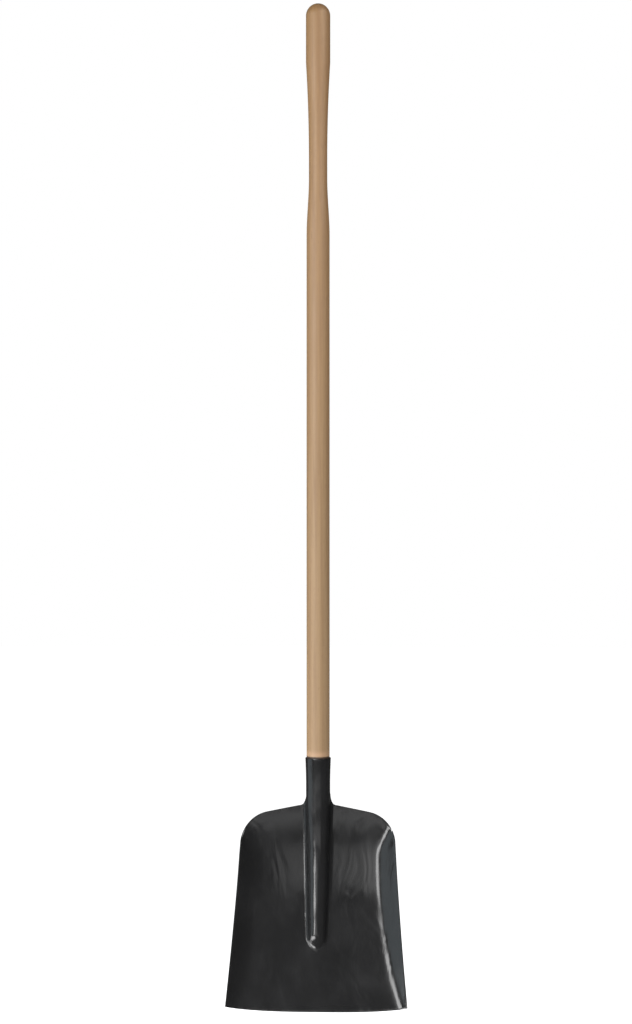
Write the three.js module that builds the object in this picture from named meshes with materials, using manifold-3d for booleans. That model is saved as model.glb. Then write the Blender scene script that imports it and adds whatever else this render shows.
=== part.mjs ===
// Grain scoop shovel: a turned wooden handle in the rolled socket of a pressed steel blade.
//
// Millimetres. The handle lies along Z with its knob up, and the open face of the blade looks along -Y.
// The origin is on the handle's axis, at the narrowest point of the grip.
//
// The blade is one sheet. A point on it is found from two distances: `down`, measured along the middle of
// the pan from the neck (negative in the socket), and `out`, measured sideways over the sheet from the
// crest of the tongue. A cross-section runs round the tongue, turns back through a fillet, crosses the
// flat floor and climbs the side wall.
import * as THREE from 'three';
import { mergeVertices } from 'three/addons/utils/BufferGeometryUtils.js';
import Module from 'manifold-3d';

const DEGREE = Math.PI / 180;

// Handle
const KNOB_RADIUS = 19;
const KNOB_TOP = 245;
const KNOB_FOOT = 153;
const WAIST_RADIUS = 14.35;
const SHAFT_RADIUS = 18;
const WAIST_END = -28;
const SHAFT_START = -118;
const SOCKET_CLEARANCE = 0.35;
const HANDLE_IN_BLADE = 120;
const HANDLE_END_RADIUS = 12;
const HANDLE_END_CHAMFER = 3;
const HANDLE_SIDES = 44;

// Socket, measured down from its rim
const SHEET = 1.6;
const RIM_Z = -935;
const NECK_DEPTH = 76;
const SOCKET_RADIUS = 18.1;
const BELL_FLARE = 1.1;
const BELL_DEPTH = 38;
const BELL_SWEEP = 1.5;
const SEAM_GAP = 3.6;
const SEAM_END = -36;
const NECK_TOP = -17;
const NECK_SIDE = 18.7;
const OPENING_START = -48;
const CLOSED_WRAP = 186 * DEGREE;
const NECK_WRAP = 88 * DEGREE;
const TIGHTEST_FILLET = 6;

// Pan
const FLOOR_BEHIND_AXIS = 6;
const BEND_LENGTH = 170;
const TIP_TILT = 21 * DEGREE;
const PAN_LENGTH = 315.7;
const SHOULDER_INNER = new THREE.Vector2(29, -0.9);
const SHOULDER_CORNER = new THREE.Vector2(117.6, 16.4);
const TIP_CORNER = new THREE.Vector2(138.7, 310.3);
const SHOULDER_ROUND = 50;
const FLANK_BOW = 1.6;
const EDGE_BOW = 3;

// Tongue, the raised rib that carries the socket on down the pan
const TONGUE_NOSE_START = 200;
const TONGUE_NOSE_END = 224;
const NOSE_HEIGHT = 13;
const NOSE_RADIUS = 13;
const NOSE_FILLET = 8;
const CREST_SWEEP = 1.2;

// Side walls
const WALL_START = 6;
const WALL_FULL = 80;
const WALL_SLOPE_BACK = 0.8;
const WALL_SLOPE_TIP = 0.7;
const CREASE_BACK = 98;
const CREASE_TIP = 134;
const CREASE_SWEEP = 2.2;
const CREASE_START = 124;
const CREASE_SOFTNESS_BACK = 10;
const CREASE_SOFTNESS_TIP = 12;
const DISH_RISE = 12;
const DISH_LEFT_AT_TIP = 0.5;

// Screws in the two flaps of the socket
const SCREW_DEPTH = 27;
const SCREW_TURN = 29 * DEGREE;
const SCREW_RADIUS = 2;
const SCREW_HOLE_RADIUS = 2.4;
const SCREW_TIP_FROM_AXIS = 7.6;
const SCREW_POINT = 3;
const SCREW_HEAD_RADIUS = 4.2;
const SCREW_HEAD_HEIGHT = 2.5;
const SCREW_SEAT_GAP = 0.3;
const SCREW_SLOT_WIDTH = 1.1;
const SCREW_SLOT_DEPTH = 1;
const SCREW_SIDES = 24;

// How finely the sheet is divided
const SOCKET_ROWS = 9;
const OPENING_ROWS = 6;
const NECK_ROWS = 5;
const SHOULDER_ROWS = 12;
const SIDE_ROWS = 22;
const HALF_COLUMNS = 22;
const GATHER_FROM = 45;
const GATHER_FULL = 90;
const COLUMNS_OVER_TONGUE = 0.46;
const LEAST_TONGUE_WRAP = 45 * DEGREE;

const clamp = THREE.MathUtils.clamp;
const lerp = THREE.MathUtils.lerp;
const smooth = THREE.MathUtils.smoothstep;

// ---------------------------------------------------------------- the sheet's mid-surface

/** Middle line of the pan: how far back it lies, its height, and how far it leans forward. */
function panSpine(down) {
  if (down <= 0) {
    return { back: FLOOR_BEHIND_AXIS, height: RIM_Z - NECK_DEPTH - down, lean: 0 };
  }
  const bendRadius = BEND_LENGTH / TIP_TILT;
  const lean = Math.min(down, BEND_LENGTH) / bendRadius;
  const straight = Math.max(0, down - BEND_LENGTH);
  const back = FLOOR_BEHIND_AXIS - bendRadius * (1 - Math.cos(lean)) - straight * Math.sin(lean);
  const fall = bendRadius * Math.sin(lean) + straight * Math.cos(lean);
  return { back, height: RIM_Z - NECK_DEPTH - fall, lean };
}

/** Mid-surface radius of the socket, which opens a little towards its rim. */
function socketRadius(depth) {
  const bell = Math.max(0, 1 - depth / BELL_DEPTH);
  return SOCKET_RADIUS + BELL_FLARE * bell ** BELL_SWEEP;
}

/** Rounded crest, fillet and wrap angle of the tongue or socket in one cross-section. */
function tongueSection(down) {
  if (down < 0) {
    const crest = socketRadius(NECK_DEPTH + down);
    const height = FLOOR_BEHIND_AXIS + crest;
    const wrap = lerp(CLOSED_WRAP, NECK_WRAP, smooth(down, OPENING_START, 0));
    const fillet = Math.max(TIGHTEST_FILLET, height / (1 - Math.cos(wrap)) - crest);
    return { crest, fillet, wrap, height };
  }
  const share = Math.min(1, down / TONGUE_NOSE_START);
  const neckHeight = FLOOR_BEHIND_AXIS + SOCKET_RADIUS;
  const neckFillet = neckHeight / (1 - Math.cos(NECK_WRAP)) - SOCKET_RADIUS;
  const crest = lerp(SOCKET_RADIUS, NOSE_RADIUS, share);
  const fillet = lerp(neckFillet, NOSE_FILLET, share);
  const nose = 1 - smooth(down, TONGUE_NOSE_START, TONGUE_NOSE_END);
  const height = lerp(neckHeight, NOSE_HEIGHT, share ** CREST_SWEEP) * nose;
  const wrap = Math.acos(1 - height / (crest + fillet));
  return { crest, fillet, wrap, height };
}

/** Zero before -softness, the distance itself after +softness, and a parabola between. */
function softRamp(distance, softness) {
  if (distance <= -softness) return 0;
  if (distance >= softness) return distance;
  return (distance + softness) ** 2 / (4 * softness);
}

/** How far the side wall, and the shallow dish of the floor, stand in front of a flat floor. */
function wallRise(side, down) {
  const along = clamp((down - WALL_FULL) / (PAN_LENGTH - WALL_FULL), 0, 1);
  const arrival = smooth(down, WALL_START, WALL_FULL);
  const crease = lerp(CREASE_START, lerp(CREASE_BACK, CREASE_TIP, along ** CREASE_SWEEP), arrival);
  const slope = lerp(WALL_SLOPE_BACK, WALL_SLOPE_TIP, along);
  const softness = lerp(CREASE_SOFTNESS_BACK, CREASE_SOFTNESS_TIP, Math.min(1, 2 * along));
  const wall = slope * softRamp(Math.abs(side) - crease, softness);
  const dish = DISH_RISE * lerp(1, DISH_LEFT_AT_TIP, smooth(down, 0, PAN_LENGTH));
  const spread = Math.max(0, Math.abs(side) - SHOULDER_INNER.x) / SHOULDER_CORNER.x;
  return wall + dish * spread ** 2;
}

/** Point of the sheet's middle surface. */
function sheetPoint(down, out) {
  const { crest, fillet, wrap, height } = tongueSection(down);
  const reach = Math.abs(out);
  const crestLength = crest * wrap;
  const filletLength = fillet * wrap;
  let side;
  let rise;
  if (reach <= crestLength) {
    side = crest * Math.sin(reach / crest);
    rise = height - crest * (1 - Math.cos(reach / crest));
  } else if (reach <= crestLength + filletLength) {
    const turn = wrap - (reach - crestLength) / fillet;
    side = (crest + fillet) * Math.sin(wrap) - fillet * Math.sin(turn);
    rise = height - crest - (-(crest + fillet) * Math.cos(wrap) + fillet * Math.cos(turn));
  } else {
    side = (crest + fillet) * Math.sin(wrap) + reach - crestLength - filletLength;
    rise = height - (crest + fillet) * (1 - Math.cos(wrap));
  }
  rise += wallRise(side, down);
  const { back, height: level, lean } = panSpine(down);
  const sign = Math.sign(out);
  return new THREE.Vector3(sign * side, back - rise * Math.cos(lean), level + rise * Math.sin(lean));
}

/** Unit normal of the sheet, towards the open face. */
function sheetNormal(down, out) {
  const step = 0.05;
  const downward = sheetPoint(down + step, out).sub(sheetPoint(down - step, out));
  const outward = sheetPoint(down, out + step).sub(sheetPoint(down, out - step));
  return downward.cross(outward).normalize();
}

// ---------------------------------------------------------------- the outline of the sheet

/** Distance over the sheet to the edge of the rolled socket, which opens in a V above the neck. */
function socketEdge(down) {
  const closed = Math.PI * socketRadius(NECK_DEPTH + down) - SEAM_GAP / 2;
  return lerp(closed, outFromSide(NECK_SIDE, NECK_TOP), smooth(down, SEAM_END, NECK_TOP));
}

/** Turns a sideways position outside the crest into a distance over the sheet. */
function outFromSide(side, down) {
  const { crest, fillet, wrap } = tongueSection(down);
  const across = (crest + fillet) * Math.sin(wrap);
  if (side >= across) return side - across + (crest + fillet) * wrap;
  const turn = Math.asin((across - side) / fillet);
  return crest * wrap + fillet * (wrap - turn);
}

/** Shoulder, rounded corner and side edge, as one path of (side, down) points. */
function panEdge() {
  const shoulder = SHOULDER_INNER.clone().sub(SHOULDER_CORNER).normalize();
  const flank = TIP_CORNER.clone().sub(SHOULDER_CORNER).normalize();
  const halfAngle = Math.acos(shoulder.dot(flank)) / 2;
  const tangent = SHOULDER_ROUND / Math.tan(halfAngle);
  const roundStart = SHOULDER_CORNER.clone().addScaledVector(shoulder, tangent);
  const roundEnd = SHOULDER_CORNER.clone().addScaledVector(flank, tangent);
  const towardsCentre = shoulder.clone().add(flank).normalize();
  const centre = SHOULDER_CORNER.clone().addScaledVector(towardsCentre, SHOULDER_ROUND / Math.sin(halfAngle));
  const startAngle = roundStart.clone().sub(centre).angle();
  const endAngle = roundEnd.clone().sub(centre).angle();
  const path = new THREE.Path();
  path.moveTo(SHOULDER_INNER.x, SHOULDER_INNER.y);
  path.lineTo(roundStart.x, roundStart.y);
  path.absarc(centre.x, centre.y, SHOULDER_ROUND, startAngle, endAngle, false);
  path.lineTo(TIP_CORNER.x, TIP_CORNER.y);
  return path;
}

/** Rows of the sheet, each given by where it leaves the crest and where it meets the edge. */
function sheetRows() {
  const rows = [];
  const addRow = (crestDown, edgeDown, edgeOut) => rows.push({ crestDown, edgeDown, edgeOut });
  for (let i = 0; i < SOCKET_ROWS; i += 1) {
    const down = lerp(-NECK_DEPTH, SEAM_END, i / SOCKET_ROWS);
    addRow(down, down, socketEdge(down));
  }
  for (let i = 0; i < OPENING_ROWS; i += 1) {
    const down = lerp(SEAM_END, NECK_TOP, i / OPENING_ROWS);
    addRow(down, down, socketEdge(down));
  }
  for (let i = 0; i < NECK_ROWS; i += 1) {
    const angle = (i / NECK_ROWS) * 90 * DEGREE;
    const down = lerp(NECK_TOP, SHOULDER_INNER.y, Math.sin(angle));
    const side = lerp(SHOULDER_INNER.x, NECK_SIDE, Math.cos(angle));
    addRow(down, down, outFromSide(side, down));
  }
  const path = panEdge();
  const flank = path.curves.at(-1);
  const flankStart = flank.v1.y;
  const shoulderLength = path.getLength() - flank.getLength();
  const bothCount = SHOULDER_ROWS + SIDE_ROWS;
  for (let i = 0; i <= bothCount; i += 1) {
    const inShoulder = i < SHOULDER_ROWS;
    const share = inShoulder ? i / SHOULDER_ROWS : (i - SHOULDER_ROWS) / SIDE_ROWS;
    const length = inShoulder
      ? share * shoulderLength
      : lerp(shoulderLength, path.getLength(), share);
    const edge = path.getPointAt(clamp(length / path.getLength(), 0, 1));
    if (!inShoulder) edge.x -= FLANK_BOW * 4 * share * (1 - share);
    const crestDown = inShoulder
      ? lerp(SHOULDER_INNER.y, flankStart, share)
      : lerp(flankStart, PAN_LENGTH, share);
    addRow(crestDown, edge.y, outFromSide(edge.x, edge.y));
  }
  return rows;
}

/** Where column `share` (0 at the crest, 1 at the edge) crosses a row. */
function rowPlace(row, share) {
  const spread = columnSpread(row, share);
  const drift = row.crestDown > 0 ? spread ** EDGE_BOW : spread;
  return { down: lerp(row.crestDown, row.edgeDown, drift), out: row.edgeOut * spread };
}

/** Columns are even round the socket, and gather over the tongue where the pan is wide. */
function columnSpread(row, share) {
  const { crest, fillet, wrap } = tongueSection(row.crestDown);
  const tongueShare = ((crest + fillet) * Math.max(wrap, LEAST_TONGUE_WRAP)) / row.edgeOut;
  const blend = smooth(row.edgeOut, GATHER_FROM, GATHER_FULL);
  const gathered = share < COLUMNS_OVER_TONGUE
    ? (share / COLUMNS_OVER_TONGUE) * Math.min(1, tongueShare)
    : lerp(Math.min(1, tongueShare), 1, (share - COLUMNS_OVER_TONGUE) / (1 - COLUMNS_OVER_TONGUE));
  return lerp(share, gathered, blend);
}

// ---------------------------------------------------------------- solids

/** Closed solid of the sheet: two offset skins joined by a strip round the edge. */
function sheetSolid() {
  const rows = sheetRows();
  const columnCount = 2 * HALF_COLUMNS + 1;
  const positions = [];
  const skins = [1, -1];
  for (const face of skins) {
    for (const row of rows) {
      for (let j = 0; j < columnCount; j += 1) {
        const signed = (j - HALF_COLUMNS) / HALF_COLUMNS;
        const place = rowPlace(row, Math.abs(signed));
        const out = Math.sign(signed) * place.out;
        const point = sheetPoint(place.down, out);
        point.addScaledVector(sheetNormal(place.down, out), (face * SHEET) / 2);
        positions.push(point.x, point.y, point.z);
      }
    }
  }
  const index = (face, i, j) => (face * rows.length + i) * columnCount + j;
  const triangles = [];
  const quad = (a, b, c, d) => triangles.push(a, b, c, a, c, d);
  const lastRow = rows.length - 1;
  const lastColumn = columnCount - 1;
  for (let i = 0; i < lastRow; i += 1) {
    for (let j = 0; j < lastColumn; j += 1) {
      quad(index(0, i, j), index(0, i + 1, j), index(0, i + 1, j + 1), index(0, i, j + 1));
      quad(index(1, i, j), index(1, i, j + 1), index(1, i + 1, j + 1), index(1, i + 1, j));
    }
    quad(index(0, i, 0), index(1, i, 0), index(1, i + 1, 0), index(0, i + 1, 0));
    quad(
      index(0, i, lastColumn), index(0, i + 1, lastColumn),
      index(1, i + 1, lastColumn), index(1, i, lastColumn),
    );
  }
  for (let j = 0; j < lastColumn; j += 1) {
    quad(index(0, 0, j), index(0, 0, j + 1), index(1, 0, j + 1), index(1, 0, j));
    quad(
      index(0, lastRow, j), index(1, lastRow, j),
      index(1, lastRow, j + 1), index(0, lastRow, j + 1),
    );
  }
  const geometry = new THREE.BufferGeometry();
  geometry.setAttribute('position', new THREE.Float32BufferAttribute(positions, 3));
  geometry.setIndex(triangles);
  return geometry;
}

/** Radius of the handle at a height above the grip waist. */
function gripRadius(height) {
  if (height >= 0) return lerp(WAIST_RADIUS, KNOB_RADIUS, Math.min(1, height / KNOB_FOOT) ** 2);
  return lerp(SHAFT_RADIUS, WAIST_RADIUS, smooth(height, SHAFT_START, WAIST_END));
}

/** Half profile of the handle, from its tapered end to the top of the knob. */
function handleProfile() {
  const points = [];
  const endZ = RIM_Z - HANDLE_IN_BLADE;
  points.push(new THREE.Vector2(0, endZ));
  points.push(new THREE.Vector2(HANDLE_END_RADIUS - HANDLE_END_CHAMFER, endZ));
  points.push(new THREE.Vector2(HANDLE_END_RADIUS, endZ + HANDLE_END_CHAMFER));
  const bellSteps = 5;
  for (let i = bellSteps; i >= 0; i -= 1) {
    const depth = (BELL_DEPTH * i) / bellSteps;
    const radius = socketRadius(depth) - SHEET / 2 - SOCKET_CLEARANCE;
    points.push(new THREE.Vector2(Math.min(radius, SHAFT_RADIUS), RIM_Z - depth));
  }
  const lowerGripSteps = 9;
  for (let i = 0; i < lowerGripSteps; i += 1) {
    const height = lerp(SHAFT_START, WAIST_END, i / lowerGripSteps);
    points.push(new THREE.Vector2(gripRadius(height), height));
  }
  const upperGripSteps = 9;
  for (let i = 0; i <= upperGripSteps; i += 1) {
    const height = lerp(0, KNOB_FOOT, i / upperGripSteps);
    points.push(new THREE.Vector2(gripRadius(height), height));
  }
  const domeSteps = 9;
  const domeCentre = KNOB_TOP - KNOB_RADIUS;
  for (let i = 0; i < domeSteps; i += 1) {
    const angle = (90 * DEGREE * i) / domeSteps;
    points.push(new THREE.Vector2(KNOB_RADIUS * Math.cos(angle), domeCentre + KNOB_RADIUS * Math.sin(angle)));
  }
  points.push(new THREE.Vector2(0, KNOB_TOP));
  return points;
}

/** Lathe whose axis is Z instead of Y. */
function turnedAboutZ(profile, sides) {
  const geometry = new THREE.LatheGeometry(profile, sides);
  geometry.rotateX(90 * DEGREE);
  return geometry;
}

/** Profile of a round-head wood screw, tip down, with the underside of its head at height 0. */
function screwProfile() {
  const shankLength = SOCKET_RADIUS + SHEET / 2 + SCREW_SEAT_GAP - SCREW_TIP_FROM_AXIS;
  const points = [
    new THREE.Vector2(0, -shankLength),
    new THREE.Vector2(SCREW_RADIUS, -shankLength + SCREW_POINT),
    new THREE.Vector2(SCREW_RADIUS, 0),
  ];
  const domeSteps = 5;
  for (let i = 0; i < domeSteps; i += 1) {
    const angle = (90 * DEGREE * i) / domeSteps;
    points.push(new THREE.Vector2(SCREW_HEAD_RADIUS * Math.cos(angle), SCREW_HEAD_HEIGHT * Math.sin(angle)));
  }
  points.push(new THREE.Vector2(0, SCREW_HEAD_HEIGHT));
  return points;
}

/** Moves a shape built along +Z, from its seat at 0, onto a socket flap: +1 right flap, -1 left. */
function placeOnFlap(geometry, sideSign) {
  const seat = SOCKET_RADIUS + SHEET / 2 + SCREW_SEAT_GAP;
  const outward = new THREE.Vector3(sideSign * Math.sin(SCREW_TURN), Math.cos(SCREW_TURN), 0);
  const turn = new THREE.Quaternion().setFromUnitVectors(new THREE.Vector3(0, 0, 1), outward);
  geometry.applyQuaternion(turn);
  geometry.translate(seat * outward.x, seat * outward.y, RIM_Z - SCREW_DEPTH);
  return geometry;
}

function screwHoleDrill(sideSign) {
  const inside = SOCKET_RADIUS - SCREW_TIP_FROM_AXIS + 2;
  const outside = 6;
  const drill = new THREE.CylinderGeometry(
    SCREW_HOLE_RADIUS, SCREW_HOLE_RADIUS, inside + outside, SCREW_SIDES,
  );
  drill.rotateX(90 * DEGREE);
  drill.translate(0, 0, (outside - inside) / 2);
  return placeOnFlap(drill, sideSign);
}

function screwGeometry(manifold, sideSign) {
  const screw = turnedAboutZ(screwProfile(), SCREW_SIDES);
  const slot = new THREE.BoxGeometry(2 * SCREW_HEAD_RADIUS + 2, SCREW_SLOT_WIDTH, 2 * SCREW_SLOT_DEPTH);
  slot.rotateZ(sideSign * 35 * DEGREE);
  slot.translate(0, 0, SCREW_HEAD_HEIGHT);
  return placeOnFlap(cut(manifold, screw, [slot]), sideSign);
}

// ---------------------------------------------------------------- cutting

function toManifold(manifold, geometry) {
  const bare = geometry.clone();
  bare.deleteAttribute('normal');
  bare.deleteAttribute('uv');
  const merged = mergeVertices(bare, 1e-4);
  return new manifold.Manifold(new manifold.Mesh({
    numProp: 3,
    vertProperties: new Float32Array(merged.attributes.position.array),
    triVerts: new Uint32Array(merged.index.array),
  }));
}

function fromManifold(solid) {
  const mesh = solid.getMesh();
  const geometry = new THREE.BufferGeometry();
  geometry.setAttribute('position', new THREE.BufferAttribute(mesh.vertProperties, 3));
  geometry.setIndex(new THREE.BufferAttribute(mesh.triVerts, 1));
  return geometry;
}

function cut(manifold, geometry, tools) {
  let solid = toManifold(manifold, geometry);
  for (const tool of tools) {
    solid = solid.subtract(toManifold(manifold, tool));
  }
  return fromManifold(solid);
}

// ---------------------------------------------------------------- pieces

const beech = () => new THREE.MeshStandardMaterial({ color: 0xb08e6c, roughness: 0.62, metalness: 0 });
const blackPaint = () => new THREE.MeshStandardMaterial({ color: 0x161718, roughness: 0.28, metalness: 0.1 });
const zincSteel = () => new THREE.MeshStandardMaterial({ color: 0x9a9b98, roughness: 0.4, metalness: 0.9 });

function piece(name, geometry, material) {
  geometry.computeVertexNormals();
  const mesh = new THREE.Mesh(geometry, material);
  mesh.name = name;
  return mesh;
}

async function buildShovel() {
  const manifold = await Module();
  manifold.setup();
  const drills = () => [screwHoleDrill(-1), screwHoleDrill(1)];
  const shovel = new THREE.Group();
  const handle = cut(manifold, turnedAboutZ(handleProfile(), HANDLE_SIDES), drills());
  const blade = cut(manifold, sheetSolid(), drills());
  shovel.add(piece('handle', handle, beech()));
  shovel.add(piece('blade', blade, blackPaint()));
  shovel.add(piece('socket_screw_left', screwGeometry(manifold, -1), zincSteel()));
  shovel.add(piece('socket_screw_right', screwGeometry(manifold, 1), zincSteel()));
  return shovel;
}

export default await buildShovel();
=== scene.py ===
"""Grain scoop shovel: fine meshes, materials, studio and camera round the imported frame.

Metres, in the frame's own axes: the handle lies along Z with its knob up, and the open face of the
pan looks along -Y. The blade is one pressed sheet. A point on it is found from two distances: `down`,
measured along the middle of the pan from the neck (negative in the socket), and `out`, measured
sideways over the sheet from the crest of the tongue.
"""
import math

import bmesh
import bpy
from mathutils import Matrix, Vector


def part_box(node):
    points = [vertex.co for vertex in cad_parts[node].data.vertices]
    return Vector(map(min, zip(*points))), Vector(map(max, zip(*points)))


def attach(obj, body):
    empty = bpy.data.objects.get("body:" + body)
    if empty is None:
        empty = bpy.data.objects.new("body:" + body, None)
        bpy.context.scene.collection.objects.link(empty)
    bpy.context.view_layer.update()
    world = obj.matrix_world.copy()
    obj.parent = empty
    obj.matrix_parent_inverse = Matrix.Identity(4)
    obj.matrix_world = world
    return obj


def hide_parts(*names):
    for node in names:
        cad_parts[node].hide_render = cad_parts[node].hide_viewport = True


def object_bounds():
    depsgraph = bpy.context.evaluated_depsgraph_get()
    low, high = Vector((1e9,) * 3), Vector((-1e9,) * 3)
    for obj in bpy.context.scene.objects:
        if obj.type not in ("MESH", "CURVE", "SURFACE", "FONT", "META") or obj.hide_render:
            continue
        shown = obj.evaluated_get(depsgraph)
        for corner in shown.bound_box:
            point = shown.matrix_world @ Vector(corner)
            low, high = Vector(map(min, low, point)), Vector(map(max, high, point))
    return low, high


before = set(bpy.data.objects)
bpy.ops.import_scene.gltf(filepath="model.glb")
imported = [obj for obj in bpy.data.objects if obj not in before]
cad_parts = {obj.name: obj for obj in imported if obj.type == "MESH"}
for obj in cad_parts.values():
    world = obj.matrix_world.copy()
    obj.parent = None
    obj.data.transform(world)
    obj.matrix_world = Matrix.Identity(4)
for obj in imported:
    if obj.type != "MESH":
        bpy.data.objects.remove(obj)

CAD_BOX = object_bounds()
MM = 0.001

HANDLE_LOW, HANDLE_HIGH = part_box("handle")
BLADE_LOW, BLADE_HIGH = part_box("blade")

# Handle
KNOB_TOP = HANDLE_HIGH[2]
HANDLE_END = HANDLE_LOW[2]
KNOB_RADIUS = HANDLE_HIGH[0]
KNOB_FOOT = 153 * MM
WAIST_RADIUS = 14.35 * MM
SHAFT_RADIUS = 18 * MM
WAIST_END = -28 * MM
SHAFT_START = -118 * MM
SOCKET_CLEARANCE = 0.35 * MM
HANDLE_END_RADIUS = 12 * MM
HANDLE_END_CHAMFER = 3 * MM

# Socket
SHEET = 1.6 * MM
RIM_Z = BLADE_HIGH[2]
NECK_DEPTH = 76 * MM
SOCKET_RADIUS = 18.1 * MM
BELL_FLARE = 1.1 * MM
BELL_DEPTH = 38 * MM
BELL_SWEEP = 1.5
SEAM_GAP = 3.6 * MM
SEAM_END = -36 * MM
NECK_TOP = -17 * MM
NECK_SIDE = 18.7 * MM
OPENING_START = -48 * MM
CLOSED_WRAP = math.radians(186)
NECK_WRAP = math.radians(88)
TIGHTEST_FILLET = 6 * MM

# Pan
FLOOR_BEHIND_AXIS = 6 * MM
BEND_LENGTH = 170 * MM
TIP_TILT = math.radians(21)
PAN_LENGTH = 315.7 * MM
SHOULDER_INNER = Vector((29, -0.9)) * MM
SHOULDER_CORNER = Vector((117.6, 16.4)) * MM
TIP_CORNER = Vector((138.7, 310.3)) * MM
SHOULDER_ROUND = 50 * MM
FLANK_BOW = 1.6 * MM
EDGE_BOW = 3

# Tongue
TONGUE_NOSE_START = 200 * MM
TONGUE_NOSE_END = 224 * MM
NOSE_HEIGHT = 13 * MM
NOSE_RADIUS = 13 * MM
NOSE_FILLET = 8 * MM
CREST_SWEEP = 1.2

# Side walls
WALL_START = 6 * MM
WALL_FULL = 80 * MM
WALL_SLOPE_BACK = 0.8
WALL_SLOPE_TIP = 0.7
CREASE_BACK = 98 * MM
CREASE_TIP = 134 * MM
CREASE_SWEEP = 2.2
CREASE_START = 124 * MM
CREASE_SOFTNESS_BACK = 10 * MM
CREASE_SOFTNESS_TIP = 12 * MM
DISH_RISE = 12 * MM
DISH_LEFT_AT_TIP = 0.5

# Screws
SCREW_DEPTH = 27 * MM
SCREW_TURN = math.radians(29)
SCREW_RADIUS = 2 * MM
SCREW_TIP_FROM_AXIS = 7.6 * MM
SCREW_POINT = 3 * MM
SCREW_HEAD_RADIUS = 4.2 * MM
SCREW_HEAD_HEIGHT = 2.5 * MM
SCREW_SEAT_GAP = 0.3 * MM
SCREW_SLOT_WIDTH = 1.1 * MM
SCREW_SLOT_DEPTH = 1 * MM
SCREW_SLOT_TURN = math.radians(35)
SCREW_CORE_RADIUS = 1.6 * MM
THREAD_TOP = 3.5 * MM
THREAD_RUN_OUT = 0.6 * MM
THREAD_TURNS = 5

# Rounded edges
SHEET_EDGE_ROUND = 0.35 * MM
SCREW_EDGE_ROUND = 0.12 * MM

# How finely the meshes are divided
SOCKET_ROWS = 26
OPENING_ROWS = 14
NECK_ROWS = 14
SHOULDER_ROWS = 34
SIDE_ROWS = 86
HALF_COLUMNS = 60
GATHER_FROM = 45 * MM
GATHER_FULL = 90 * MM
COLUMNS_OVER_TONGUE = 0.46
LEAST_TONGUE_WRAP = math.radians(45)
HANDLE_SIDES = 96
SCREW_SIDES = 40
BELL_STEPS = 10
SHAFT_STEPS = 24
GRIP_STEPS = 24
DOME_STEPS = 16
SCREW_DOME_STEPS = 10


# ---------------------------------------------------------------- small helpers

def clamp(value, low, high):
    return max(low, min(high, value))


def lerp(a, b, share):
    return a + (b - a) * share


def smooth(value, low, high):
    share = clamp((value - low) / (high - low), 0, 1)
    return share * share * (3 - 2 * share)


def object_from(name, vertices, faces, material, node):
    """One visible piece that rides on the root body and stands for a CAD node."""
    mesh = bpy.data.meshes.new(name)
    mesh.from_pydata(vertices, [], faces)
    mesh.validate()
    for polygon in mesh.polygons:
        polygon.use_smooth = True
    mesh.materials.append(material)
    piece = bpy.data.objects.new(name, mesh)
    bpy.context.collection.objects.link(piece)
    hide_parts(node)
    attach(piece, "root")
    return piece


# ---------------------------------------------------------------- the sheet's mid-surface

def pan_spine(down):
    """Middle line of the pan: how far back it lies, its height and its forward lean."""
    if down <= 0:
        return FLOOR_BEHIND_AXIS, RIM_Z - NECK_DEPTH - down, 0
    bend_radius = BEND_LENGTH / TIP_TILT
    lean = min(down, BEND_LENGTH) / bend_radius
    straight = max(0, down - BEND_LENGTH)
    back = FLOOR_BEHIND_AXIS - bend_radius * (1 - math.cos(lean)) - straight * math.sin(lean)
    fall = bend_radius * math.sin(lean) + straight * math.cos(lean)
    return back, RIM_Z - NECK_DEPTH - fall, lean


def socket_radius(depth):
    """Mid-surface radius of the socket, which opens a little towards its rim."""
    return SOCKET_RADIUS + BELL_FLARE * max(0, 1 - depth / BELL_DEPTH) ** BELL_SWEEP


def tongue_section(down):
    """Rounded crest, fillet, wrap angle and height of the tongue or socket in one cross-section."""
    if down < 0:
        crest = socket_radius(NECK_DEPTH + down)
        height = FLOOR_BEHIND_AXIS + crest
        wrap = lerp(CLOSED_WRAP, NECK_WRAP, smooth(down, OPENING_START, 0))
        fillet = max(TIGHTEST_FILLET, height / (1 - math.cos(wrap)) - crest)
        return crest, fillet, wrap, height
    share = min(1, down / TONGUE_NOSE_START)
    neck_height = FLOOR_BEHIND_AXIS + SOCKET_RADIUS
    neck_fillet = neck_height / (1 - math.cos(NECK_WRAP)) - SOCKET_RADIUS
    crest = lerp(SOCKET_RADIUS, NOSE_RADIUS, share)
    fillet = lerp(neck_fillet, NOSE_FILLET, share)
    nose = 1 - smooth(down, TONGUE_NOSE_START, TONGUE_NOSE_END)
    height = lerp(neck_height, NOSE_HEIGHT, share ** CREST_SWEEP) * nose
    wrap = math.acos(1 - height / (crest + fillet))
    return crest, fillet, wrap, height


def soft_ramp(distance, softness):
    """Zero before -softness, the distance itself after +softness, and a parabola between."""
    if distance <= -softness:
        return 0
    if distance >= softness:
        return distance
    return (distance + softness) ** 2 / (4 * softness)


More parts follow.
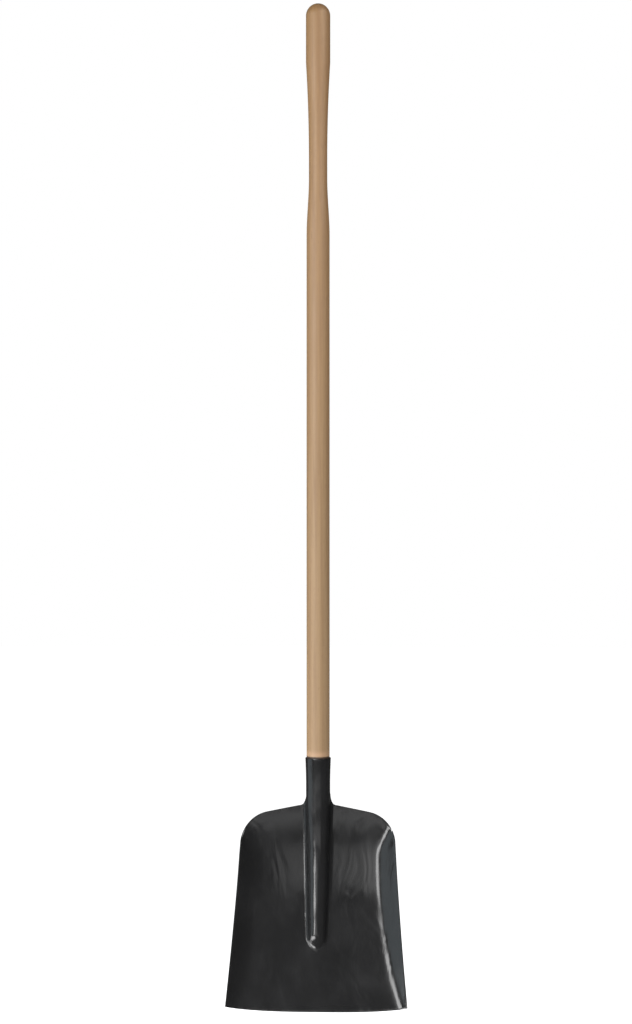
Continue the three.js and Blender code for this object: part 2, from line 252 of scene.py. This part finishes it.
def wall_rise(side, down):
    """How far the side wall, and the shallow dish of the floor, stand in front of a flat floor."""
    along = clamp((down - WALL_FULL) / (PAN_LENGTH - WALL_FULL), 0, 1)
    arrival = smooth(down, WALL_START, WALL_FULL)
    crease = lerp(CREASE_START, lerp(CREASE_BACK, CREASE_TIP, along ** CREASE_SWEEP), arrival)
    slope = lerp(WALL_SLOPE_BACK, WALL_SLOPE_TIP, along)
    softness = lerp(CREASE_SOFTNESS_BACK, CREASE_SOFTNESS_TIP, min(1, 2 * along))
    wall = slope * soft_ramp(abs(side) - crease, softness)
    dish = DISH_RISE * lerp(1, DISH_LEFT_AT_TIP, smooth(down, 0, PAN_LENGTH))
    spread = max(0, abs(side) - SHOULDER_INNER.x) / SHOULDER_CORNER.x
    return wall + dish * spread ** 2


def sheet_point(down, out):
    """Point of the sheet's middle surface."""
    crest, fillet, wrap, height = tongue_section(down)
    reach = abs(out)
    crest_length = crest * wrap
    fillet_length = fillet * wrap
    across = (crest + fillet) * math.sin(wrap)
    if reach <= crest_length:
        side = crest * math.sin(reach / crest)
        rise = height - crest * (1 - math.cos(reach / crest))
    elif reach <= crest_length + fillet_length:
        turn = wrap - (reach - crest_length) / fillet
        side = across - fillet * math.sin(turn)
        rise = height - crest + (crest + fillet) * math.cos(wrap) - fillet * math.cos(turn)
    else:
        side = across + reach - crest_length - fillet_length
        rise = height - (crest + fillet) * (1 - math.cos(wrap))
    rise += wall_rise(side, down)
    back, level, lean = pan_spine(down)
    return Vector((
        math.copysign(side, out),
        back - rise * math.cos(lean),
        level + rise * math.sin(lean),
    ))


def sheet_normal(down, out):
    """Unit normal of the sheet, towards the open face."""
    step = 0.05 * MM
    downward = sheet_point(down + step, out) - sheet_point(down - step, out)
    outward = sheet_point(down, out + step) - sheet_point(down, out - step)
    return downward.cross(outward).normalized()


# ---------------------------------------------------------------- the outline of the sheet

def socket_edge(down):
    """Distance over the sheet to the edge of the rolled socket, which opens in a V above the neck."""
    closed = math.pi * socket_radius(NECK_DEPTH + down) - SEAM_GAP / 2
    return lerp(closed, out_from_side(NECK_SIDE, NECK_TOP), smooth(down, SEAM_END, NECK_TOP))


def out_from_side(side, down):
    """Turns a sideways position outside the crest into a distance over the sheet."""
    crest, fillet, wrap, _ = tongue_section(down)
    across = (crest + fillet) * math.sin(wrap)
    if side >= across:
        return side - across + (crest + fillet) * wrap
    turn = math.asin((across - side) / fillet)
    return crest * wrap + fillet * (wrap - turn)


class PanEdge:
    """Shoulder line, rounded corner and side edge, as positions (side, down) along a length."""

    def __init__(self):
        shoulder = (SHOULDER_INNER - SHOULDER_CORNER).normalized()
        flank = (TIP_CORNER - SHOULDER_CORNER).normalized()
        half_angle = math.acos(shoulder.dot(flank)) / 2
        tangent = SHOULDER_ROUND / math.tan(half_angle)
        self.round_start = SHOULDER_CORNER + shoulder * tangent
        self.round_end = SHOULDER_CORNER + flank * tangent
        middle = (shoulder + flank).normalized()
        self.centre = SHOULDER_CORNER + middle * (SHOULDER_ROUND / math.sin(half_angle))
        self.line_length = (self.round_start - SHOULDER_INNER).length
        self.sweep = math.pi - 2 * half_angle
        self.shoulder_length = self.line_length + SHOULDER_ROUND * self.sweep
        self.flank_length = (TIP_CORNER - self.round_end).length

    def at(self, length):
        if length <= self.line_length:
            return SHOULDER_INNER.lerp(self.round_start, length / self.line_length)
        if length <= self.shoulder_length:
            turned = (length - self.line_length) / SHOULDER_ROUND
            spoke = self.round_start - self.centre
            return self.centre + Matrix.Rotation(turned, 2) @ spoke
        return self.round_end.lerp(TIP_CORNER, (length - self.shoulder_length) / self.flank_length)


def sheet_rows():
    """Rows of the sheet: where each leaves the crest and where it meets the edge."""
    rows = []
    for i in range(SOCKET_ROWS):
        down = lerp(-NECK_DEPTH, SEAM_END, i / SOCKET_ROWS)
        rows.append((down, down, socket_edge(down)))
    for i in range(OPENING_ROWS):
        down = lerp(SEAM_END, NECK_TOP, i / OPENING_ROWS)
        rows.append((down, down, socket_edge(down)))
    for i in range(NECK_ROWS):
        angle = math.radians(90) * i / NECK_ROWS
        down = lerp(NECK_TOP, SHOULDER_INNER.y, math.sin(angle))
        side = lerp(SHOULDER_INNER.x, NECK_SIDE, math.cos(angle))
        rows.append((down, down, out_from_side(side, down)))
    edge = PanEdge()
    for i in range(SHOULDER_ROWS):
        share = i / SHOULDER_ROWS
        place = edge.at(share * edge.shoulder_length)
        crest_down = lerp(SHOULDER_INNER.y, edge.round_end.y, share)
        rows.append((crest_down, place.y, out_from_side(*place)))
    for i in range(SIDE_ROWS + 1):
        share = i / SIDE_ROWS
        place = edge.at(edge.shoulder_length + share * edge.flank_length)
        place.x -= FLANK_BOW * 4 * share * (1 - share)
        crest_down = lerp(edge.round_end.y, PAN_LENGTH, share)
        rows.append((crest_down, place.y, out_from_side(*place)))
    return rows


def column_spread(row, share):
    """Columns are even round the socket, and gather over the tongue where the pan is wide."""
    crest_down, _, edge_out = row
    crest, fillet, wrap, _ = tongue_section(crest_down)
    tongue_share = min(1, (crest + fillet) * max(wrap, LEAST_TONGUE_WRAP) / edge_out)
    blend = smooth(edge_out, GATHER_FROM, GATHER_FULL)
    if share < COLUMNS_OVER_TONGUE:
        gathered = share / COLUMNS_OVER_TONGUE * tongue_share
    else:
        beyond = (share - COLUMNS_OVER_TONGUE) / (1 - COLUMNS_OVER_TONGUE)
        gathered = lerp(tongue_share, 1, beyond)
    return lerp(share, gathered, blend)


def row_place(row, share):
    """Where column `share` (0 at the crest, 1 at the edge) crosses a row."""
    crest_down, edge_down, edge_out = row
    spread = column_spread(row, share)
    drift = spread ** EDGE_BOW if crest_down > 0 else spread
    return lerp(crest_down, edge_down, drift), edge_out * spread


# ---------------------------------------------------------------- blade

def sheet_mesh():
    """Closed mesh of the sheet: two offset skins joined by a strip round the edge."""
    rows = sheet_rows()
    columns = 2 * HALF_COLUMNS + 1
    skins = ([], [])
    for row in rows:
        for j in range(columns):
            signed = (j - HALF_COLUMNS) / HALF_COLUMNS
            down, reach = row_place(row, abs(signed))
            out = math.copysign(reach, signed)
            point = sheet_point(down, out)
            offset = sheet_normal(down, out) * (SHEET / 2)
            skins[0].append(point + offset)
            skins[1].append(point - offset)
    count = len(rows)

    def front(i, j):
        return i * columns + j

    def rear(i, j):
        return (count + i) * columns + j

    faces = []
    for i in range(count - 1):
        for j in range(columns - 1):
            faces.append((front(i, j), front(i + 1, j), front(i + 1, j + 1), front(i, j + 1)))
            faces.append((rear(i, j), rear(i, j + 1), rear(i + 1, j + 1), rear(i + 1, j)))
        last = columns - 1
        faces.append((front(i, 0), rear(i, 0), rear(i + 1, 0), front(i + 1, 0)))
        faces.append((front(i, last), front(i + 1, last), rear(i + 1, last), rear(i, last)))
    for j in range(columns - 1):
        end = count - 1
        faces.append((front(0, j), front(0, j + 1), rear(0, j + 1), rear(0, j)))
        faces.append((front(end, j), rear(end, j), rear(end, j + 1), front(end, j + 1)))
    return skins[0] + skins[1], faces


def round_sharp_edges(piece, width):
    """Rolls the sharp edges of a sheet over by a small radius."""
    bevel = piece.modifiers.new("rounded_edges", "BEVEL")
    bevel.width = width
    bevel.segments = 2
    bevel.limit_method = "ANGLE"
    bevel.angle_limit = math.radians(50)


def make_blade(material):
    vertices, faces = sheet_mesh()
    blade = object_from("pressed_blade", vertices, faces, material, "blade")
    round_sharp_edges(blade, SHEET_EDGE_ROUND)


# ---------------------------------------------------------------- turned shapes

def turned_mesh(profile, sides):
    """Closed mesh of a half profile of (radius, height) points turned about Z, axis to axis."""
    vertices = [Vector((0, 0, profile[0][1]))]
    for radius, height in profile[1:-1]:
        for k in range(sides):
            angle = 2 * math.pi * k / sides
            vertices.append(Vector((radius * math.cos(angle), radius * math.sin(angle), height)))
    vertices.append(Vector((0, 0, profile[-1][1])))
    faces = []
    rings = len(profile) - 2
    for k in range(sides):
        after = (k + 1) % sides
        faces.append((0, 1 + after, 1 + k))
        for ring in range(rings - 1):
            low = 1 + ring * sides
            high = low + sides
            faces.append((low + k, low + after, high + after, high + k))
        top = 1 + (rings - 1) * sides
        faces.append((top + k, top + after, len(vertices) - 1))
    return vertices, faces


def grip_radius(height):
    """Radius of the handle from the shaft through the waist to the knob."""
    if height >= 0:
        return lerp(WAIST_RADIUS, KNOB_RADIUS, min(1, height / KNOB_FOOT) ** 2)
    return lerp(SHAFT_RADIUS, WAIST_RADIUS, smooth(height, SHAFT_START, WAIST_END))


def handle_profile():
    """Half profile of the handle, from its tapered end to the top of the knob."""
    points = [
        (0, HANDLE_END),
        (HANDLE_END_RADIUS - HANDLE_END_CHAMFER, HANDLE_END),
        (HANDLE_END_RADIUS, HANDLE_END + HANDLE_END_CHAMFER),
    ]
    for i in range(BELL_STEPS, -1, -1):
        depth = BELL_DEPTH * i / BELL_STEPS
        radius = socket_radius(depth) - SHEET / 2 - SOCKET_CLEARANCE
        points.append((min(radius, SHAFT_RADIUS), RIM_Z - depth))
    for i in range(1, SHAFT_STEPS):
        points.append((SHAFT_RADIUS, lerp(RIM_Z, SHAFT_START, i / SHAFT_STEPS)))
    for i in range(GRIP_STEPS):
        height = lerp(SHAFT_START, WAIST_END, i / GRIP_STEPS)
        points.append((grip_radius(height), height))
    for i in range(GRIP_STEPS + 1):
        height = lerp(0, KNOB_FOOT, i / GRIP_STEPS)
        points.append((grip_radius(height), height))
    dome_centre = KNOB_TOP - KNOB_RADIUS
    for i in range(DOME_STEPS):
        angle = math.radians(90) * i / DOME_STEPS
        height = dome_centre + KNOB_RADIUS * math.sin(angle)
        points.append((KNOB_RADIUS * math.cos(angle), height))
    points.append((0, KNOB_TOP))
    return points


def make_handle(material):
    vertices, faces = turned_mesh(handle_profile(), HANDLE_SIDES)
    object_from("turned_handle", vertices, faces, material, "handle")


# ---------------------------------------------------------------- screws

def screw_profile():
    """Half profile of a round-head wood screw with a threaded shank, tip down, seat at height 0."""
    length = SOCKET_RADIUS + SHEET / 2 + SCREW_SEAT_GAP - SCREW_TIP_FROM_AXIS
    points = [(0, -length), (SCREW_CORE_RADIUS, SCREW_POINT - length)]
    for i in range(THREAD_TURNS):
        low = lerp(SCREW_POINT - length, -THREAD_TOP, i / THREAD_TURNS)
        high = lerp(SCREW_POINT - length, -THREAD_TOP, (i + 1) / THREAD_TURNS)
        points.append((SCREW_RADIUS, lerp(low, high, 0.35)))
        points.append((SCREW_RADIUS, lerp(low, high, 0.5)))
        points.append((SCREW_CORE_RADIUS, lerp(low, high, 0.95)))
    points.append((SCREW_RADIUS, THREAD_RUN_OUT - THREAD_TOP))
    points.append((SCREW_RADIUS, 0))
    for i in range(SCREW_DOME_STEPS):
        angle = math.radians(90) * i / SCREW_DOME_STEPS
        points.append((SCREW_HEAD_RADIUS * math.cos(angle), SCREW_HEAD_HEIGHT * math.sin(angle)))
    points.append((0, SCREW_HEAD_HEIGHT))
    return points


def slot_cutter(turn):
    """Box that cuts the driver slot across a screw head."""
    cutter_mesh = bpy.data.meshes.new("slot_cutter")
    shape = bmesh.new()
    size = Matrix.Diagonal((3 * SCREW_HEAD_RADIUS, SCREW_SLOT_WIDTH, 2 * SCREW_SLOT_DEPTH, 1))
    place = Matrix.Translation((0, 0, SCREW_HEAD_HEIGHT)) @ Matrix.Rotation(turn, 4, "Z")
    bmesh.ops.create_cube(shape, size=1, matrix=place @ size)
    shape.to_mesh(cutter_mesh)
    shape.free()
    cutter = bpy.data.objects.new("slot_cutter", cutter_mesh)
    bpy.context.collection.objects.link(cutter)
    return cutter


def cut_once(piece, cutter):
    """Subtracts the cutter from the piece's mesh and removes the cutter."""
    knife = piece.modifiers.new("slot", "BOOLEAN")
    knife.operation = "DIFFERENCE"
    knife.solver = "EXACT"
    knife.object = cutter
    evaluated = piece.evaluated_get(bpy.context.evaluated_depsgraph_get())
    done = bpy.data.meshes.new_from_object(evaluated)
    piece.modifiers.clear()
    old = piece.data
    piece.data = done
    bpy.data.meshes.remove(old)
    bpy.data.objects.remove(cutter)


def make_screw(side_name, side_sign, material):
    """A screw pointing at the handle's axis through one flap of the socket."""
    vertices, faces = turned_mesh(screw_profile(), SCREW_SIDES)
    node = f"socket_screw_{side_name}"
    screw = object_from(f"round_head_screw_{side_name}", vertices, faces, material, node)
    cut_once(screw, slot_cutter(side_sign * SCREW_SLOT_TURN))
    seat = SOCKET_RADIUS + SHEET / 2 + SCREW_SEAT_GAP
    outward = Vector((side_sign * math.sin(SCREW_TURN), math.cos(SCREW_TURN), 0))
    turn = Vector((0, 0, 1)).rotation_difference(outward)
    place = Matrix.Translation(outward * seat + Vector((0, 0, RIM_Z - SCREW_DEPTH)))
    screw.data.transform(place @ turn.to_matrix().to_4x4())
    round_sharp_edges(screw, SCREW_EDGE_ROUND)


# ---------------------------------------------------------------- material nodes

class Nodes:
    """Short ways to add and wire shader nodes in one material."""

    def __init__(self, name):
        self.material = bpy.data.materials.new(name)
        self.material.use_nodes = True
        self.tree = self.material.node_tree
        self.shader = self.tree.nodes["Principled BSDF"]
        self.place = self.tree.nodes.new("ShaderNodeTexCoord").outputs["Object"]

    def link(self, source, target):
        self.tree.links.new(source, target)

    def scaled(self, x, y, z):
        mapping = self.tree.nodes.new("ShaderNodeMapping")
        mapping.inputs["Scale"].default_value = (x, y, z)
        self.link(self.place, mapping.inputs["Vector"])
        return mapping.outputs["Vector"]

    def noise(self, vector, detail=4, roughness=0.55, distortion=0):
        node = self.tree.nodes.new("ShaderNodeTexNoise")
        node.inputs["Scale"].default_value = 1
        node.inputs["Detail"].default_value = detail
        node.inputs["Roughness"].default_value = roughness
        node.inputs["Distortion"].default_value = distortion
        self.link(vector, node.inputs["Vector"])
        return node.outputs["Fac"]

    def spread(self, value, low, high, to_low=0, to_high=1):
        node = self.tree.nodes.new("ShaderNodeMapRange")
        node.interpolation_type = "SMOOTHSTEP"
        node.inputs["From Min"].default_value = low
        node.inputs["From Max"].default_value = high
        node.inputs["To Min"].default_value = to_low
        node.inputs["To Max"].default_value = to_high
        self.link(value, node.inputs["Value"])
        return node.outputs["Result"]

    def math(self, operation, first, second):
        node = self.tree.nodes.new("ShaderNodeMath")
        node.operation = operation
        for socket, value in zip(node.inputs, (first, second)):
            if isinstance(value, (int, float)):
                socket.default_value = value
            else:
                self.link(value, socket)
        return node.outputs["Value"]

    def mix(self, share, first, second):
        node = self.tree.nodes.new("ShaderNodeMix")
        node.data_type = "RGBA"
        for socket, value in ((node.inputs["A"], first), (node.inputs["B"], second)):
            if isinstance(value, tuple):
                socket.default_value = (*value, 1)
            else:
                self.link(value, socket)
        self.link(share, node.inputs["Factor"])
        return node.outputs["Result"]

    def axis(self, name):
        node = self.tree.nodes.new("ShaderNodeSeparateXYZ")
        self.link(self.place, node.inputs["Vector"])
        return node.outputs[name]

    def bump(self, height, distance, strength=1, under=None):
        node = self.tree.nodes.new("ShaderNodeBump")
        node.inputs["Strength"].default_value = strength
        node.inputs["Distance"].default_value = distance
        self.link(height, node.inputs["Height"])
        if under is not None:
            self.link(under, node.inputs["Normal"])
        return node.outputs["Normal"]


def beech_material():
    """Turned beech: long pale streaks, short ray flecks and fine pores under a thin satin lacquer,
    with a painted shadow line where the wood goes into the socket.
    """
    n = Nodes("turned_beech")
    broad = n.noise(n.scaled(30, 30, 1.6), detail=3)
    streaks = n.noise(n.scaled(170, 170, 3.2), detail=6, distortion=0.4)
    fibres = n.noise(n.scaled(900, 900, 14), detail=5)
    flecks = n.spread(n.noise(n.scaled(620, 620, 95), detail=2), 0.60, 0.70)
    pores = n.spread(n.noise(n.scaled(1500, 1500, 60), detail=2), 0.62, 0.72)
    height = n.axis("Z")
    along = n.spread(height, 0.22, -0.85)

    upper = n.mix(n.spread(streaks, 0.35, 0.68), (0.196, 0.110, 0.043), (0.156, 0.082, 0.030))
    lower = n.mix(n.spread(streaks, 0.35, 0.68), (0.208, 0.134, 0.066), (0.165, 0.099, 0.045))
    colour = n.mix(along, upper, lower)
    colour = n.mix(n.spread(broad, 0.35, 0.7, 0, 0.35), colour, (0.215, 0.124, 0.060))
    colour = n.mix(n.spread(fibres, 0.35, 0.75, 0, 0.28), colour, (0.170, 0.104, 0.056))
    colour = n.mix(n.math("MULTIPLY", flecks, 0.32), colour, (0.143, 0.075, 0.038))
    colour = n.mix(n.math("MULTIPLY", pores, 0.25), colour, (0.098, 0.053, 0.030))
    above_rim = n.spread(height, RIM_Z - 6 * MM, RIM_Z - 2 * MM)
    warm_band = n.spread(height, RIM_Z + 4 * MM, RIM_Z + 16 * MM, 0.5, 0)
    # Painted shadow: a thin dark band on the wood where it goes into the socket rim.
    painted_rim_shadow = n.spread(height, RIM_Z + 1.8 * MM, RIM_Z + 4.2 * MM, 0.95, 0)
    colour = n.mix(n.math("MULTIPLY", above_rim, warm_band), colour, (0.33, 0.20, 0.12))
    colour = n.mix(n.math("MULTIPLY", above_rim, painted_rim_shadow), colour, (0.02, 0.010, 0.006))
    n.link(colour, n.shader.inputs["Base Color"])
    n.link(n.spread(fibres, 0.3, 0.75, 0.50, 0.64), n.shader.inputs["Roughness"])
    grain = n.bump(fibres, 0.00022, 0.5)
    n.link(n.bump(pores, -0.00008, 0.5, under=grain), n.shader.inputs["Normal"])
    return n.material


def black_paint_material():
    """Gloss black paint over pressed steel: slow ripples, fine draw marks and slight orange peel."""
    n = Nodes("black_stove_paint")
    blotches = n.noise(n.scaled(22, 22, 16), detail=3)
    peel = n.noise(n.scaled(520, 520, 520), detail=2)
    draws = n.noise(n.scaled(330, 330, 7), detail=4)
    ripples = n.noise(n.scaled(26, 26, 11), detail=2, distortion=0.8)

    colour = n.mix(n.spread(blotches, 0.35, 0.7), (0.0070, 0.0070, 0.0072), (0.0090, 0.0090, 0.0093))
    n.link(colour, n.shader.inputs["Base Color"])
    n.link(n.spread(blotches, 0.3, 0.72, 0.13, 0.20), n.shader.inputs["Roughness"])
    surface = n.bump(ripples, 0.0026, 0.5)
    surface = n.bump(draws, 0.00006, 0.5, under=surface)
    surface = n.bump(peel, 0.00003, 0.5, under=surface)
    n.link(surface, n.shader.inputs["Normal"])
    return n.material


def zinc_material():
    """Bright zinc plate with fine turning marks and dull spots."""
    n = Nodes("zinc_plate")
    spots = n.noise(n.scaled(700, 700, 700), detail=4)
    scratches = n.noise(n.scaled(2600, 2600, 300), detail=3)
    colour = n.mix(n.spread(spots, 0.35, 0.7), (0.62, 0.63, 0.62), (0.46, 0.47, 0.48))
    n.link(colour, n.shader.inputs["Base Color"])
    n.link(n.spread(spots, 0.3, 0.75, 0.26, 0.45), n.shader.inputs["Roughness"])
    n.link(n.bump(scratches, 0.00003, 0.5), n.shader.inputs["Normal"])
    n.shader.inputs["Metallic"].default_value = 1
    return n.material


# ---------------------------------------------------------------- studio

CAMERA_DISTANCE = 3.0
CAMERA_TURN = math.radians(2.2)
CAMERA_ABOVE_RIM = 0.3845
VIEW_HEIGHT = 1.6026
HANDLE_RIGHT_OF_CENTRE = 0.0033
FLOOR_DROP = 0.30
FLOOR_HALF = 12


def aim(thing, target):
    """Turns a camera or light towards a point."""
    thing.rotation_euler = (Vector(target) - thing.location).to_track_quat("-Z", "Y").to_euler()


def make_camera():
    """Level camera in front of the open face, a little to the shovel's right."""
    data = bpy.data.cameras.new("camera")
    data.sensor_fit = "VERTICAL"
    data.lens = data.sensor_height * CAMERA_DISTANCE / VIEW_HEIGHT
    camera = bpy.data.objects.new("camera", data)
    bpy.context.collection.objects.link(camera)
    ahead = Vector((math.sin(CAMERA_TURN), -math.cos(CAMERA_TURN), 0))
    right = Vector((math.cos(CAMERA_TURN), math.sin(CAMERA_TURN), 0))
    level = Vector((0, 0, RIM_Z + CAMERA_ABOVE_RIM))
    camera.location = ahead * CAMERA_DISTANCE - right * HANDLE_RIGHT_OF_CENTRE + level
    aim(camera, level - right * HANDLE_RIGHT_OF_CENTRE)
    bpy.context.scene.camera = camera


def make_floor():
    """Plain pale floor well below the hanging shovel."""
    material = bpy.data.materials.new("pale_floor")
    material.use_nodes = True
    shader = material.node_tree.nodes["Principled BSDF"]
    shader.inputs["Base Color"].default_value = (0.85, 0.85, 0.85, 1)
    shader.inputs["Roughness"].default_value = 0.9
    shader.inputs["Emission Color"].default_value = (1, 1, 1, 1)
    shader.inputs["Emission Strength"].default_value = 0.97
    half = FLOOR_HALF
    level = CAD_BOX[0][2] - FLOOR_DROP
    corners = [(-half, -half, level), (half, -half, level), (half, half, level), (-half, half, level)]
    mesh = bpy.data.meshes.new("floor")
    mesh.from_pydata(corners, [], [(0, 1, 2, 3)])
    mesh.materials.append(material)
    floor = bpy.data.objects.new("floor", mesh)
    bpy.context.collection.objects.link(floor)
    floor.visible_glossy = False


def softbox(name, place, target, width, height, power, colour=(1, 1, 1)):
    """Rectangular area light of the given size in metres and power in watts."""
    data = bpy.data.lights.new(name, "AREA")
    data.shape = "RECTANGLE"
    data.size = width
    data.size_y = height
    data.energy = power
    data.color = colour
    light = bpy.data.objects.new(name, data)
    bpy.context.collection.objects.link(light)
    light.location = place
    light.visible_camera = False
    aim(light, target)


def make_lights():
    """Key softboxes on the front left, broad dim fills in front, and fills on both sides."""
    pan = (0, 0, RIM_Z - 0.2)
    shaft = (0, 0, -0.4)
    softbox("key_high", (-1.52, -1.92, 0.38), pan, 0.9, 0.36, 52)
    softbox("key_strip", (-1.36, -2.10, -0.66), pan, 0.7, 0.80, 17)
    softbox("low_left", (-0.75, -0.75, -1.60), (0, -0.05, -1.22), 1.0, 0.5, 16)
    softbox("low_front", (0, -4.2, -1.38), pan, 4.0, 0.4, 7)
    softbox("front_high", (0, -3.6, 1.6), pan, 3.0, 2.2, 1.5)
    softbox("front_left", (-1.15, -4.2, -0.08), pan, 1.1, 1.18, 4.5)
    softbox("side_left", (-2.25, -0.45, -0.2), (0, 0, -0.4), 2.2, 2.6, 18, (0.80, 0.93, 1.0))
    softbox("front_fill", (-1.32, -4.2, -0.08), pan, 3.15, 1.18, 9.5)
    softbox("right_fill", (1.9, -1.7, 1.4), shaft, 2.0, 1.6, 78)


def make_world():
    """White to the camera, and dim grey to the object, so that the black paint stays black."""
    world = bpy.data.worlds.new("studio")
    world.use_nodes = True
    bpy.context.scene.world = world
    tree = world.node_tree
    tree.nodes.clear()
    seen = tree.nodes.new("ShaderNodeBackground")
    seen.inputs["Color"].default_value = (1, 1, 1, 1)
    seen.inputs["Strength"].default_value = 1
    felt = tree.nodes.new("ShaderNodeBackground")
    felt.inputs["Color"].default_value = (1, 1, 1, 1)
    felt.inputs["Strength"].default_value = 0.08
    ray = tree.nodes.new("ShaderNodeLightPath")
    mix = tree.nodes.new("ShaderNodeMixShader")
    output = tree.nodes.new("ShaderNodeOutputWorld")
    tree.links.new(ray.outputs["Is Camera Ray"], mix.inputs["Fac"])
    tree.links.new(felt.outputs["Background"], mix.inputs[1])
    tree.links.new(seen.outputs["Background"], mix.inputs[2])
    tree.links.new(mix.outputs["Shader"], output.inputs["Surface"])
    bpy.context.scene.view_settings.view_transform = "Standard"


make_handle(beech_material())
make_blade(black_paint_material())
zinc = zinc_material()
make_screw("left", -1, zinc)
make_screw("right", 1, zinc)
make_camera()
make_floor()
make_lights()
make_world()
